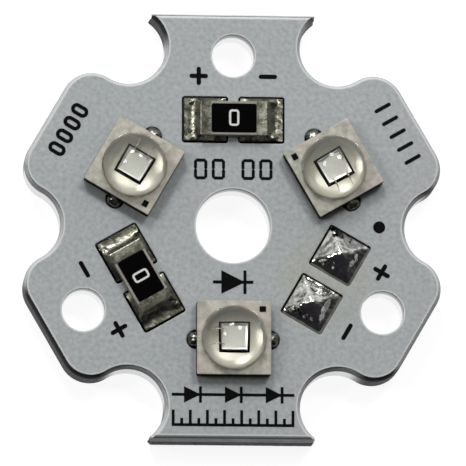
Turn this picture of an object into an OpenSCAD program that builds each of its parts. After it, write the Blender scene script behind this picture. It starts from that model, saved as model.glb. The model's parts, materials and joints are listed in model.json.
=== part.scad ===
// Star board: a notched hexagonal board on an aluminium core. Three domed power emitters stand
// on it in series, linked by two zero-ohm jumpers, and two tinned pads take the supply wires.
// The origin is the middle of the underside, +Z is up, and +Y points to the upper scored tab.
// Sizes are in millimetres.

/* [Board outline] */
// Width across each pair of side tabs
across_flats = 20.1; // [19.9:0.1:20.4]
// How far the snapped web of a scored tab stands out beyond the other flats
snap_reach = 0.1; // [0:0.01:0.14]
// Width of a scored tab along its snapped edge
ear_w = 7.5; // [7.4:0.1:7.9]
// Depth of the score lines that the board was snapped along, in each face
score_depth = 0.5; // [0.2:0.05:0.7]
// How far a score line's slope runs in from the flat
score_run = 0.28; // [0.24:0.01:0.32]
// Diameter of the circle through the notch centres
notch_circle = 19.6; // [19:0.1:20]
// Diameter of a notch
notch_d = 3.5; // [3.2:0.1:3.7]
// Rounding of the corners of the four side tabs
tab_round = 1.45; // [0.75:0.05:1.75]
// Diameter of the centre hole
centre_hole_d = 3.5; // [2:0.1:4]
// Diameter of a locating hole
peg_hole_d = 2; // [1:0.1:2.4]
// Diameter of the circle through the locating holes
peg_circle = 16.1; // [15.6:0.1:16.8]

/* [Board layers] */
// Thickness of the aluminium base
base_t = 1.8; // [1.1:0.1:3]
// Thickness of the dielectric layer
dielectric_t = 0.1; // [0.05:0.01:0.2]
// Thickness of the copper
copper_t = 0.07; // [0.03:0.01:0.14]
// Thickness of the solder mask over the copper
mask_t = 0.03; // [0.02:0.01:0.05]
// Thickness of the printed ink
ink_t = 0.02; // [0.01:0.005:0.03]
// How far the copper runs on under the mask around an opening
copper_margin = 0.1; // [0.05:0.01:0.14]
// How far the dielectric and the mask stay back from the punched edge of the base
edge_margin = 0.15; // [0.1:0.01:0.16]

/* [Wire pads and jumper lands] */
// Distance of a pair of lands from the middle of the board
land_r = 5; // [4.8:0.05:5.4]
// Length of a land along the pair
land_w = 2.16; // [2:0.02:2.3]
// Length of a land away from the middle of the board
land_l = 2.2; // [2.1:0.02:2.4]
// Gap between the two lands of a pair
land_gap = 0.48; // [0.3:0.02:0.6]
// Thickness of the solder that tins a land
tin_t = 0.05; // [0.03:0.01:0.1]
// Height of the solder mound on a wire pad
mound_h = 0.75; // [0.4:0.05:1]

/* [Jumpers] */
// Length of a jumper
jumper_l = 3.2; // [3:0.05:3.5]
// Width of a jumper
jumper_w = 1.6; // [1.4:0.05:1.7]
// Thickness of a jumper's alumina body
jumper_t = 0.5; // [0.35:0.05:0.8]
// Thickness of the end caps' metal
cap_t = 0.04; // [0.02:0.01:0.08]
// How far an end cap reaches along the jumper
cap_l = 0.53; // [0.3:0.01:0.6]
// Length of the black overcoat
overcoat_l = 2.1; // [1.6:0.05:2.1]
// Width of the black overcoat
overcoat_w = 1.36; // [1:0.02:1.4]
// Thickness of the black overcoat
overcoat_t = 0.05; // [0.02:0.01:0.08]
// Height of the solder fillet against an end cap
fillet_h = 0.3; // [0.1:0.02:0.3]
// Width of the printed zero
zero_w = 0.5; // [0.4:0.02:0.7]
// Height of the printed zero
zero_h = 0.8; // [0.7:0.02:1]
// Stroke of the printed zero
zero_stroke = 0.1; // [0.06:0.01:0.14]

/* [Emitters] */
// Distance of an emitter from the middle of the board
led_r = 5.37; // [5.2:0.01:5.8]
// Side of the ceramic submount
led_w = 3.45; // [3.3:0.05:3.7]
// Thickness of the ceramic submount
ceramic_t = 0.65; // [0.4:0.05:0.9]
// Thickness of the metal pads under the ceramic
pad_t = 0.05; // [0.03:0.01:0.08]
// Width of the anode pad and of the cathode pad
pad_w = 0.5; // [0.4:0.02:0.55]
// Length of the pads
pad_l = 3.3; // [2.8:0.05:3.3]
// Distance of the pads from the edge of the ceramic
pad_inset = 0.075; // [0.05:0.005:0.12]
// Width of the thermal pad
thermal_w = 1.3; // [1:0.05:1.4]
// Thickness of the solder under the pads
joint_t = 0.08; // [0.05:0.01:0.12]
// Radius of the solder bead at each side of the ceramic
bead_r = 0.4; // [0.3:0.01:0.5]
// Clearance of a mask opening around a pad
opening_gap = 0.05; // [0.02:0.01:0.08]
// Radius of the dome
dome_r = 1.48; // [1.35:0.01:1.6]
// Radius of the metal field under the dome
field_r = 1.4; // [1.3:0.01:1.45]
// Thickness of the metal on top of the ceramic
field_t = 0.03; // [0.02:0.01:0.05]
// Side of the chip
chip_w = 0.92; // [0.8:0.02:1.1]
// Thickness of the chip
chip_t = 0.15; // [0.1:0.01:0.2]
// Width of the bare trench around the chip's metal
trench_w = 0.07; // [0.05:0.01:0.12]
// Radius of a bond wire
wire_r = 0.02; // [0.015:0.005:0.03]
// Radius of a bond wire's loop
wire_loop_r = 0.25; // [0.2:0.01:0.28]
// Distance between the two bond wires
wire_pitch = 0.56; // [0.4:0.02:0.7]
// Distance from the chip's edge to a bond wire's foot on it
wire_inset = 0.1; // [0.06:0.01:0.14]
// Side of the printed corner mark along the string
mark_w = 0.26; // [0.15:0.01:0.3]
// Side of the printed corner mark across the string
mark_l = 0.3; // [0.15:0.01:0.32]
// Distance of the corner mark from the edges of the ceramic
mark_inset = 0.25; // [0.15:0.01:0.3]
// Thickness of the corner mark
mark_t = 0.02; // [0.01:0.005:0.03]

/* [Legend] */
// Length of a polarity sign
sign_l = 0.86; // [0.6:0.02:0.96]
// Stroke of a polarity sign
sign_stroke = 0.2; // [0.12:0.01:0.26]
// Distance between the plus and the minus of a pair
sign_pitch = 3.24; // [3.1:0.02:3.5]
// Distance from the lands to the middle of the polarity signs
sign_gap = 0.97; // [0.7:0.02:1]
// Diameter of the orientation dot
dot_d = 0.56; // [0.4:0.02:0.8]
// Distance of the orientation dot from the middle of the board
dot_r = 6.83; // [6.6:0.01:7.1]
// Distance of the counter's zeros and of the diode sign from the middle of the board
inner_row_r = 2.66; // [2.5:0.02:2.8]
// Height of the counter's zeros
digit_h = 0.98; // [0.8:0.02:1.1]
// Width of the counter's zeros
digit_w = 0.62; // [0.5:0.02:0.66]
// Stroke of the counter's zeros
digit_stroke = 0.14; // [0.1:0.01:0.16]
// Length of the diode sign
diode_l = 1.88; // [1.6:0.02:2.2]
// Height of the diode sign
diode_h = 1.1; // [0.8:0.02:1.2]
// Length of the rows on the lower tab
row_l = 5.7; // [4.8:0.1:5.8]
// Height of the rows on the lower tab
row_h = 0.76; // [0.5:0.02:0.8]
// Stroke of the rows on the lower tab
row_stroke = 0.13; // [0.08:0.01:0.16]
// Distance of the string diagram from the scored edge
string_inset = 1.92; // [1.77:0.01:1.97]
// Distance of the scale from the scored edge
scale_inset = 0.82; // [0.67:0.01:0.87]
// Distance of the tab marks from their flats
tab_mark_inset = 1.15; // [0.95:0.01:1.35]
// Height of the tab marks
tab_mark_h = 0.85; // [0.6:0.01:0.9]
// Distance from one tab mark to the next
tab_mark_pitch = 0.7; // [0.6:0.01:0.75]
// Stroke of the tab marks
tab_mark_stroke = 0.17; // [0.1:0.01:0.2]

/* [Hidden] */
$fn = 64;
over = 1;
// A rounding laps over the lines that it runs into by this much, so that they cross
lap = 0.001;

LED_PIECES = ["ceramic", "anode_pad", "cathode_pad", "thermal_pad", "top_metal", "chip", "bond_wires",
              "corner_mark", "dome", "solder"];
JUMPER_PIECES = ["body", "cap_in", "cap_out", "overcoat", "zero", "solder_in", "solder_out"];
// The traces in the order of the string, from the plus pad around to the minus pad
TRACES = ["trace_plus_to_led_1", "trace_led_1_to_jumper_1", "trace_jumper_1_to_led_2",
          "trace_led_2_to_jumper_2", "trace_jumper_2_to_led_3", "trace_led_3_to_minus"];

// Angles of the stations around the board
station_step = 60;
pair_angles = [90, 210, 330];
led_angles = [30, 150, 270];
side_tabs = [led_angles[0], led_angles[1], pair_angles[1], pair_angles[2]];
scored_tabs = [pair_angles[0], led_angles[2]];
wire_pair_angle = pair_angles[2];

// Places of the outline, in a tab's own frame: x away from the middle, y along the flat
flat_x = across_flats / 2;
snap_x = flat_x + snap_reach;
score_x = snap_x - score_run;
ear_at = [snap_x, ear_w / 2];
notch_r = notch_d / 2;
notch_at = notch_circle / 2 * [cos(station_step / 2), sin(station_step / 2)];
round_x = flat_x - tab_round + lap;
round_at = [round_x, notch_at.y - sqrt(pow(notch_r + tab_round - lap, 2) - pow(round_x - notch_at.x, 2))];

// Heights of the layers
z_dielectric = base_t;
z_copper = z_dielectric + dielectric_t;
z_land = z_copper + copper_t;
z_mask = z_land + mask_t;
z_tin = z_land + tin_t;
z_pad = z_land + joint_t;
z_ceramic = z_pad + pad_t;
z_field = z_ceramic + ceramic_t;
z_chip = z_field + field_t;
z_wire = z_chip + chip_t;
z_alumina = z_tin + cap_t;
z_overcoat = z_alumina + jumper_t;
z_zero = z_overcoat + overcoat_t;

// Places on a pair of lands and on an emitter, in their own frames: x away from the middle
land_pitch = land_w + land_gap;
land_end = land_gap / 2 + land_w;
side_pad_y = led_w / 2 - pad_inset - pad_w / 2;
fillet_run = land_end - jumper_l / 2;
fillet_side_run = (land_l - jumper_w) / 2;
fillet_top = min(fillet_h, fillet_side_run);
sign_r = land_r + land_l / 2 + sign_gap;

// Colours
ALUMINIUM = [0.72, 0.73, 0.74];
RESIN = [0.78, 0.74, 0.62];
COPPER = [0.78, 0.48, 0.32];
MASK = [0.64, 0.65, 0.66];
INK = [0.06, 0.06, 0.07];
CERAMIC = [0.72, 0.7, 0.63];
GOLD = [0.85, 0.7, 0.35];
SILVER = [0.9, 0.88, 0.8];
CHIP = [0.78, 0.8, 0.83];
CLEAR = [0.9, 0.92, 0.95, 0.4];
SOLDER = [0.6, 0.6, 0.58];
ALUMINA = [0.93, 0.93, 0.9];
BLACK = [0.1, 0.1, 0.1];
PRINT = [0.92, 0.92, 0.9];

// Radius of the arc that falls to nothing over a run, from a given height
function fillet_radius(run, height) = (run * run + height * height) / (2 * height);
function turned(p, a) = [p.x * cos(a) - p.y * sin(a), p.x * sin(a) + p.y * cos(a)];

// Plain shapes

module plate(z, t) {
  translate([0, 0, z]) linear_extrude(t) children();
}

module block(size, at, z) {
  translate([at.x - size.x / 2, at.y - size.y / 2, z]) cube(size);
}

module round_bar(l, w) {
  square([l - w, w], center = true);
  for (s = [-1, 1]) translate([s * (l - w) / 2, 0]) circle(d = w);
}

module oval_ring(w, h, stroke) {
  difference() {
    rotate(90) round_bar(h, w);
    rotate(90) round_bar(h - 2 * stroke, w - 2 * stroke);
  }
}

module at_pair(a) {
  rotate(a) translate([land_r, 0]) children();
}

module at_led(k) {
  rotate(led_angles[k - 1]) translate([led_r, 0]) children();
}

// Board outline

module flats_plan(margin) {
  strip = [2 * across_flats, across_flats - 2 * margin];
  intersection() {
    rotate(scored_tabs[0] - 90) square(strip + [0, 2 * snap_reach], center = true);
    rotate(station_step) square(strip, center = true);
    rotate(-station_step) square(strip, center = true);
  }
}

// What lies outside the rounded corner of a side tab, up to the notch
module round_corner_cut(margin) {
  beyond = flat_x + over;
  difference() {
    polygon([round_at, [beyond, round_at.y], beyond * [1, tan(station_step / 2)], notch_at]);
    translate(round_at) circle(r = tab_round - margin);
  }
}

// What is broken off the tip of a scored tab, in line with the middle of the notch
module ear_cut() {
  polygon([notch_at, 2 * ear_at - notch_at, [2 * ear_at.x - notch_at.x, notch_at.y]]);
}

// A round notch, open to the outside
module notch_plan(margin) {
  translate([notch_circle / 2, 0]) {
    circle(d = notch_d + 2 * margin);
    translate([0, -notch_r / 2]) square([flat_x, notch_r]);
  }
}

// The board's plan, drawn in from its outline by a margin
module board_plan(margin) {
  difference() {
    flats_plan(margin);
    for (i = [0:5]) rotate(i * station_step) notch_plan(margin);
    for (a = side_tabs, m = [0, 1]) rotate(a) mirror([0, m]) round_corner_cut(margin);
    for (a = scored_tabs, m = [0, 1]) rotate(a) mirror([0, m]) ear_cut();
    circle(d = centre_hole_d);
    for (a = pair_angles) rotate(a) translate([peg_circle / 2, 0]) circle(d = peg_hole_d);
  }
}

// What the score lines take from both faces along a scored flat
module score_cuts() {
  for (a = scored_tabs, under = [0, 1])
    rotate(a) translate([snap_x, 0, under * z_mask]) mirror([0, 0, under]) translate([0, 0, z_mask])
      rotate([90, 0, 0]) linear_extrude(across_flats, center = true)
        polygon([[-2 * score_run, score_depth], [score_run, -2 * score_depth], [score_run, score_depth]]);
}

// One layer of the board
module board_layer(z, t, margin = 0) {
  difference() {
    plate(z, t) board_plan(margin);
    score_cuts();
  }
}

// Openings in the mask, and the copper that shows in them, grown by a margin under the mask

module land_plan(side, grow) {
  translate([0, side * land_pitch / 2]) square([land_l + 2 * grow, land_w + 2 * grow], center = true);
}

module side_pad_plan(side, grow) {
  translate([0, side * side_pad_y]) square([pad_l + 2 * grow, pad_w + 2 * grow], center = true);
  translate([0, side * led_w / 2]) circle(r = bead_r + grow);
}

module thermal_plan(grow) {
  square([pad_l + 2 * grow, thermal_w + 2 * grow], center = true);
}

// A land, the pad of the emitter beside it, and the strip that joins them
module trace_plan(side) {
  under_pad = side_pad_y;
  strip_out = turned([led_r + bead_r, -under_pad], station_step);
  strip_in = turned([led_r - bead_r, -under_pad], station_step);
  mirror([0, side < 0 ? 1 : 0]) {
    translate([land_r, 0]) land_plan(1, copper_margin);
    rotate(station_step) translate([led_r, 0]) side_pad_plan(-1, opening_gap + copper_margin);
    polygon([[land_r - land_l / 2, land_pitch / 2], [land_r + land_l / 2, land_pitch / 2],
             strip_out, strip_in]);
  }
}

// Every other trace starts on the clockwise side of its pair of lands
module trace_shape(i) {
  rotate(pair_angles[floor((i + 5) / 2) % 3]) trace_plan(i % 2 == 0 ? 1 : -1);
}

module trace(i) {
  color(COPPER) plate(z_copper, copper_t) trace_shape(i);
}

module thermal_land(k) {
  color(COPPER) at_led(k) plate(z_copper, copper_t) thermal_plan(opening_gap + copper_margin);
}

module aluminium_base() {
  color(ALUMINIUM) board_layer(0, base_t);
}

module dielectric_layer() {
  color(RESIN) board_layer(z_dielectric, dielectric_t, edge_margin);
}

module solder_mask() {
  color(MASK) difference() {
    board_layer(z_copper, copper_t + mask_t, edge_margin);
    for (i = [0:5]) plate(z_copper - over, copper_t + over) trace_shape(i);
    for (k = [1:3]) at_led(k) {
      plate(z_copper - over, copper_t + over) thermal_plan(opening_gap + copper_margin);
      plate(z_copper, over) thermal_plan(opening_gap);
      for (s = [-1, 1]) plate(z_copper, over) side_pad_plan(s, opening_gap);
    }
    for (a = pair_angles, s = [-1, 1]) at_pair(a) plate(z_copper, over) land_plan(s, 0);
  }
}

// Legend

module plus_sign() {
  round_bar(sign_l, sign_stroke);
  rotate(90) round_bar(sign_l, sign_stroke);
}

// The signs beside a pair of lands, with the minus on the clockwise side
module polarity_signs() {
  translate([sign_r, sign_pitch / 2]) plus_sign();
  translate([sign_r, -sign_pitch / 2]) rotate(90) round_bar(sign_l, sign_stroke);
}

// A zero of six separate strokes
module digit_zero() {
  side_l = (digit_h - digit_stroke) / 2;
  for (s = [-1, 1]) {
    translate([0, s * (digit_h - digit_stroke) / 2]) round_bar(digit_w - digit_stroke, digit_stroke);
    for (t = [-1, 1])
      translate([s * (digit_w - digit_stroke) / 2, t * side_l / 2]) rotate(90) round_bar(side_l, digit_stroke);
  }
}

// Two pairs of zeros
module counter_row() {
  pitch = digit_w + 1.5 * digit_stroke;
  for (s = [-1, 1], t = [-1, 1]) translate([s * (pitch + 2 * digit_stroke) + t * pitch / 2, 0]) digit_zero();
}

module diode_sign(l, h, stroke) {
  half = h / 2;
  square([l, stroke], center = true);
  polygon([[-half, half], [half, 0], [-half, -half]]);
  translate([half, 0]) square([stroke, h], center = true);
}

// Three diodes in a row on one line
module string_diagram() {
  pitch = row_l / 3;
  for (i = [-1:1]) translate([i * pitch, 0]) diode_sign(pitch, row_h, row_stroke);
}

// A line with long and short ticks by turns
module scale_row() {
  ticks = 15;
  pitch = (row_l - row_stroke) / (ticks - 1);
  translate([0, (row_stroke - row_h) / 2]) square([row_l, row_stroke], center = true);
  for (i = [0:ticks - 1]) {
    tick_h = i % 2 == 0 ? row_h : row_h / 2;
    translate([(i - (ticks - 1) / 2) * pitch, (tick_h - row_h) / 2])
      square([row_stroke, tick_h], center = true);
  }
}

module tab_marks(count, ringed) {
  for (i = [0:count - 1])
    translate([flat_x - tab_mark_inset, (i - (count - 1) / 2) * tab_mark_pitch]) rotate(-90) {
      if (ringed) oval_ring(tab_mark_pitch - tab_mark_stroke, tab_mark_h, tab_mark_stroke);
      else rotate(90) round_bar(tab_mark_h, tab_mark_stroke);
    }
}

module legend() {
  color(INK) plate(z_mask, ink_t) {
    for (a = pair_angles) rotate(a) polarity_signs();
    translate([dot_r, 0]) circle(d = dot_d);
    translate([0, inner_row_r]) counter_row();
    translate([0, -inner_row_r]) diode_sign(diode_l, diode_h, digit_stroke);
    translate([0, string_inset - score_x]) string_diagram();
    translate([0, scale_inset - score_x]) scale_row();
    rotate(side_tabs[1]) tab_marks(4, true);
    rotate(side_tabs[0]) tab_marks(5, false);
  }
}

// Emitters

module led_ceramic(k) {
  color(CERAMIC) at_led(k) block([led_w, led_w, ceramic_t], [0, 0], z_ceramic);
}

module led_side_pad(k, side) {
  color(GOLD) at_led(k) block([pad_l, pad_w, pad_t], [0, side * side_pad_y], z_pad);
}

module led_thermal_pad(k) {
  color(GOLD) at_led(k) block([pad_l, thermal_w, pad_t], [0, 0], z_pad);
}

module top_metal_shape() {
  plate(z_field, field_t) {
    square(chip_w, center = true);
    difference() {
      circle(r = field_r);
      square(chip_w + 2 * trench_w, center = true);
    }
  }
}

module chip_shape() {
  block([chip_w, chip_w, chip_t], [0, 0], z_chip);
}

// Two loops from the chip's anode edge down to the metal field
module bond_wire_shape() {
  foot_y = chip_w / 2 - wire_inset;
  mirror([0, 1, 0]) for (s = [-1, 1]) translate([s * wire_pitch / 2, foot_y + wire_loop_r, 0]) {
    translate([0, 0, z_wire]) rotate([90, 0, 90])
      rotate_extrude(angle = 180) translate([wire_loop_r, 0]) circle(r = wire_r);
    translate([0, wire_loop_r, z_chip]) cylinder(h = chip_t, r = wire_r);
  }
}

module led_top_metal(k) {
  color(SILVER) at_led(k) top_metal_shape();
}

module led_chip(k) {
  color(CHIP) at_led(k) chip_shape();
}

module led_bond_wires(k) {
  color(GOLD) at_led(k) bond_wire_shape();
}

module led_corner_mark(k) {
  edge = led_w / 2 - mark_inset;
  color(INK) at_led(k)
    block([mark_w, mark_l, mark_t], [mark_w / 2 - edge, edge - mark_l / 2], z_field);
}

module led_dome(k) {
  color(CLEAR) at_led(k) difference() {
    intersection() {
      translate([0, 0, z_field]) sphere(r = dome_r);
      block([led_w, led_w, led_w], [0, 0], z_field);
    }
    top_metal_shape();
    chip_shape();
    bond_wire_shape();
  }
}

// The joint under each pad, and the bead that shows at each side
module led_solder(k) {
  neck_w = 2 * bead_r - 2 * opening_gap;
  color(SOLDER) at_led(k) {
    block([pad_l, thermal_w, joint_t], [0, 0], z_land);
    for (s = [-1, 1]) {
      block([pad_l, pad_w, joint_t], [0, s * side_pad_y], z_land);
      block([neck_w, pad_inset + pad_w, joint_t], [0, s * (led_w - pad_inset - pad_w) / 2], z_land);
      intersection() {
        translate([0, s * led_w / 2, z_land]) sphere(r = bead_r);
        block([2 * bead_r, bead_r, bead_r], [0, s * (led_w + bead_r) / 2], z_land);
      }
    }
  }
}

// Jumpers, in the frame of their pair of lands: y runs along the jumper

module jumper_body(j) {
  color(ALUMINA) at_pair(pair_angles[j - 1])
    block([jumper_w, jumper_l - 2 * cap_t, jumper_t], [0, 0], z_alumina);
}

module jumper_cap(j, side) {
  color(SOLDER) at_pair(pair_angles[j - 1]) difference() {
    block([jumper_w, cap_l, jumper_t + 2 * cap_t], [0, side * (jumper_l - cap_l) / 2], z_tin);
    block([jumper_w + over, jumper_l - 2 * cap_t, jumper_t], [0, 0], z_alumina);
  }
}

module jumper_overcoat(j) {
  color(BLACK) at_pair(pair_angles[j - 1])
    block([overcoat_w, min(overcoat_l, jumper_l - 2 * cap_l), overcoat_t], [0, 0], z_overcoat);
}

module jumper_zero(j) {
  color(PRINT) at_pair(pair_angles[j - 1])
    plate(z_zero, ink_t) rotate(90) oval_ring(zero_w, zero_h, zero_stroke);
}

// Tinned land with a hollow fillet up the end and the sides of the cap
module jumper_solder(j, side) {
  end_r = fillet_radius(fillet_run, fillet_top);
  side_r = fillet_radius(fillet_side_run, fillet_top);
  cap_start = jumper_l / 2 - cap_l;
  color(SOLDER) at_pair(pair_angles[j - 1]) mirror([0, side < 0 ? 1 : 0]) difference() {
    union() {
      block([land_l, land_w, tin_t], [0, land_pitch / 2], z_land);
      block([land_l, land_end - cap_start, tin_t + fillet_top], [0, (land_end + cap_start) / 2], z_land);
    }
    block([jumper_w, jumper_l, over], [0, 0], z_tin);
    translate([0, land_end, z_tin + end_r]) rotate([0, 90, 0])
      cylinder(h = 2 * land_l, r = end_r, center = true);
    for (s = [-1, 1]) translate([s * land_l / 2, land_end, z_tin + side_r]) rotate([90, 0, 0])
      cylinder(h = 4 * land_w, r = side_r, center = true);
  }
}

// A mound with four curved faces that meet on the diagonals of its pad
module mound(side) {
  x_r = fillet_radius(land_l / 2, mound_h);
  y_r = fillet_radius(land_w / 2, mound_h);
  color(SOLDER) at_pair(wire_pair_angle) translate([0, side * land_pitch / 2, z_land]) intersection() {
    translate([0, 0, mound_h - y_r]) rotate([0, 90, 0]) cylinder(h = 2 * land_l, r = y_r, center = true);
    translate([0, 0, mound_h - x_r]) rotate([90, 0, 0]) cylinder(h = 2 * land_w, r = x_r, center = true);
    block([land_l, land_w, mound_h], [0, 0], 0);
  }
}

module led_piece(k, p) {
  if (p == "ceramic") led_ceramic(k);
  if (p == "anode_pad") led_side_pad(k, -1);
  if (p == "cathode_pad") led_side_pad(k, 1);
  if (p == "thermal_pad") led_thermal_pad(k);
  if (p == "top_metal") led_top_metal(k);
  if (p == "chip") led_chip(k);
  if (p == "bond_wires") led_bond_wires(k);
  if (p == "corner_mark") led_corner_mark(k);
  if (p == "dome") led_dome(k);
  if (p == "solder") led_solder(k);
}

module jumper_piece(j, p) {
  if (p == "body") jumper_body(j);
  if (p == "cap_in") jumper_cap(j, -1);
  if (p == "cap_out") jumper_cap(j, 1);
  if (p == "overcoat") jumper_overcoat(j);
  if (p == "zero") jumper_zero(j);
  if (p == "solder_in") jumper_solder(j, -1);
  if (p == "solder_out") jumper_solder(j, 1);
}

aluminium_base();
dielectric_layer();
solder_mask();
legend();
for (i = [0:5]) trace(i);
for (k = [1:3]) thermal_land(k);
for (k = [1:3], p = LED_PIECES) led_piece(k, p);
for (j = [1:2], p = JUMPER_PIECES) jumper_piece(j, p);
mound(1);  // plus_solder
mound(-1);  // minus_solder
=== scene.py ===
# Star board with three domed emitters: its looks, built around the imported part.
# Lengths are in metres. The frame is the part's own: +Z up, the origin under the centre hole.
import json
import math

import bmesh
import bpy
from mathutils import Matrix, Vector, noise


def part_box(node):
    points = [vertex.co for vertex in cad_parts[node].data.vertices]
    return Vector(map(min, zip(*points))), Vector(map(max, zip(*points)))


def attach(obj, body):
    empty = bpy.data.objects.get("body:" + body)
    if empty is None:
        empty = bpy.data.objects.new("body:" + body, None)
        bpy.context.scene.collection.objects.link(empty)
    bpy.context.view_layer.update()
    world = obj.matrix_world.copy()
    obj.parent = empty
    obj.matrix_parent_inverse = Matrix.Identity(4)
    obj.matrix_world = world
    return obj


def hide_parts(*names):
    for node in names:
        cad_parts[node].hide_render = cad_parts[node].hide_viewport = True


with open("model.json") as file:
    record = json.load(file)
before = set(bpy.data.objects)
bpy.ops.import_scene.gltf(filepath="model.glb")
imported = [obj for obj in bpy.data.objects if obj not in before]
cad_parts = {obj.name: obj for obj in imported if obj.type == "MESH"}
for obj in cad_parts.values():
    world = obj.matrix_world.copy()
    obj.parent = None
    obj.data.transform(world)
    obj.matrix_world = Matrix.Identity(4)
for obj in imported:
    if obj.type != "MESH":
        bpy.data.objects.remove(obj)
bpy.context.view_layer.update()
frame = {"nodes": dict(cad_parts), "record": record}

MM = 0.001


# Sizes that the frame gives

def node_size(node):
    low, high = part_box(node)
    return high - low


def node_middle(node):
    low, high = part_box(node)
    return (low + high) / 2


mount_sizes = {m["name"]: m["dims"] for m in frame["record"]["mounts"]}
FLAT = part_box("aluminium_base")[1].y
CORE_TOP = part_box("aluminium_base")[1].z
RESIN_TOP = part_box("dielectric_layer")[1].z
LAND_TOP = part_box("thermal_land_3")[1].z
BOARD_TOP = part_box("solder_mask")[1].z
BORE_R = mount_sizes["centre_bore"]["r_mm"] * MM
PEG_R = mount_sizes["locating_holes"]["hole_r_mm"] * MM
PEG_CIRCLE_R = mount_sizes["locating_holes"]["pcd_mm"] / 2 * MM
NOTCH_CIRCLE_R = mount_sizes["screw_notches"]["pcd_mm"] / 2 * MM

LED_R = -node_middle("led_3_ceramic").y
LED_W = node_size("led_3_ceramic").x
PAD_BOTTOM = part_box("led_3_thermal_pad")[0].z
THERMAL_SIZE = node_size("led_3_thermal_pad")
SIDE_PAD_SIZE = node_size("led_3_anode_pad")
SIDE_PAD_OUT = abs(node_middle("led_3_anode_pad").x)
CERAMIC_BOTTOM, CERAMIC_TOP = (corner.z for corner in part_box("led_3_ceramic"))
FIELD_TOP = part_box("led_3_top_metal")[1].z
CHIP_W = node_size("led_3_chip").x
CHIP_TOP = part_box("led_3_chip")[1].z
DOME_R = node_size("led_3_dome").x / 2

PAIR_R = node_middle("jumper_1_body").y
JUMPER_W = node_size("jumper_1_body").y
JUMPER_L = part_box("jumper_1_cap_in")[1].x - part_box("jumper_1_cap_out")[0].x
CAP_L = node_size("jumper_1_cap_in").x
ALUMINA_BOTTOM, ALUMINA_TOP = (corner.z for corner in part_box("jumper_1_body"))
CAP_BOTTOM, CAP_TOP = (corner.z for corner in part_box("jumper_1_cap_in"))
OVERCOAT_SIZE = node_size("jumper_1_overcoat")
ZERO_SIZE = node_size("jumper_1_zero")
LAND_ALONG = node_size("jumper_1_solder_in").x
LAND_ACROSS = node_size("jumper_1_solder_in").y
LAND_OUT = abs(node_middle("jumper_1_solder_in").x)
FILLET_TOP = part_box("jumper_1_solder_in")[1].z
MOUND_H = node_size("plus_solder").z

# Sizes that follow the part's own design
NOTCH_R = 1.75 * MM
TAB_ROUND = 1.45 * MM
EDGE_MARGIN = 0.15 * MM
SCORE_DEPTH = 0.5 * MM
SCORE_RUN = 0.28 * MM
SIDE_FLAT = FLAT - 0.1 * MM
EAR_HALF = 3.75 * MM
BEAD_R = 0.4 * MM
NECK_L = 0.3 * MM
NECK_IN = 0.1 * MM
OPENING_GAP = 0.05 * MM
TRENCH_W = 0.07 * MM
WIRE_R = 0.02 * MM
WIRE_LOOP_R = 0.25 * MM
WIRE_PITCH = 0.56 * MM
WIRE_INSET = 0.1 * MM

# Sizes of the finish
MASK_RIM = 0.03 * MM
MASK_FADE = 0.07 * MM
CORE_RIM = 0.05 * MM
ROLL_H = 0.3 * MM
# Depth and strength of a band of painted shade at the top of each hole wall
HOLE_RIM_SHADE_DEPTH = 0.8 * MM
HOLE_RIM_SHADE_GAIN = 1.6
TORN_DEPTH = 0.07 * MM
TORN_GRAIN = 0.22 * MM
TORN_FROM = 0.9
TORN_FADE = 0.25
UPPER_SHORT = 0.09 * MM
# The rolled lip is painted lighter on the sides that face this way, towards the lamps: painted light
LIP_LAMP_SIDE = Vector((0.3, 0.95))
LIP_FROM = -0.65
LIP_FADE = 0.45
# Punched wall that lies deep in a notch takes a light metal colour at the mark: painted light
NOTCH_DEEP_FROM = 0.2
NOTCH_DEEP_FADE = 0.5
# A patch of the left wall that the mark paints light: painted light
PAINTED_LIGHT_X = -7.5 * MM
PAINTED_LIGHT_Y = 3.2 * MM
PAINTED_LIGHT_FADE = 0.8 * MM
LAND_CORNER_R = 0.14 * MM
PAD_CORNER_R = 0.05 * MM
PAD_RIM = 0.02 * MM
CERAMIC_CORNER_R = 0.06 * MM
CERAMIC_RIM = 0.035 * MM
# Height at the top of the emitter's walls above which their painted shade stops
CERAMIC_SHADE_FADE = 0.1 * MM
DIE_FRAME_W = 0.06 * MM
DIE_FRAME_H = 0.013 * MM
DIE_FRAME_EDGE = 0.008 * MM
DIE_FRAME_LESS = 0.03 * MM
CHIP_CORNER_R = 0.02 * MM
CHIP_RIM = 0.012 * MM
SUNK = 0.004 * MM
DOME_FOOT = 0.05 * MM
BODY_CORNER_R = 0.05 * MM
BODY_RIM = 0.03 * MM
COAT_CORNER_R = 0.08 * MM
COAT_RIM = 0.024 * MM
# Width and strength of the near-black rim of painted shade along the solder's edges
SOLDER_RIM = 0.13 * MM
TINNED_EDGE = 0.25
EDGE_SHADE_GAIN = 2.2
DROP_R = 0.2 * MM
DROP_H = 0.07 * MM
DROP_INSET = 0.26 * MM
DROP_SPREAD = 0.5 * MM
FILLET_BLEND = 0.08 * MM
FILLET_FADE = 0.8 * MM
FILLET_WAVE = 0.02 * MM
FILLET_WAVE_L = 0.42 * MM
UNDER_GAP = 0.04 * MM
MOUND_POWER = 1.15
MOUND_BLEND = 0.14 * MM
MOUND_SAG = 0.62
MOUND_SAG_RUN = 0.62 * MM
MOUND_CALM = 0.35 * MM
MOUND_LOW = 0.02 * MM
MOUND_WAVES = ((0.06, 0.7 * MM, 0), (0.01, 0.24 * MM, 7))
BEAD_HALF = 0.38 * MM
BEAD_OUT = 0.43 * MM
BEAD_H = 0.38 * MM
BEAD_POWER = 4
BEAD_LUMP = 0.06
BEAD_LUMP_L = 0.7
SKIRT_H = 0.12 * MM
SKIRT_END = 0.12
SKIRT_SHADE_END = 0.3
SKIRT_FADE = 0.25
ZERO_LESS = 0.02 * MM
ZERO_STROKE = 0.1 * MM
ZERO_CORNER_R = 0.15 * MM
END_POWER = 4
SIDE_POWER = 1.2

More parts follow.
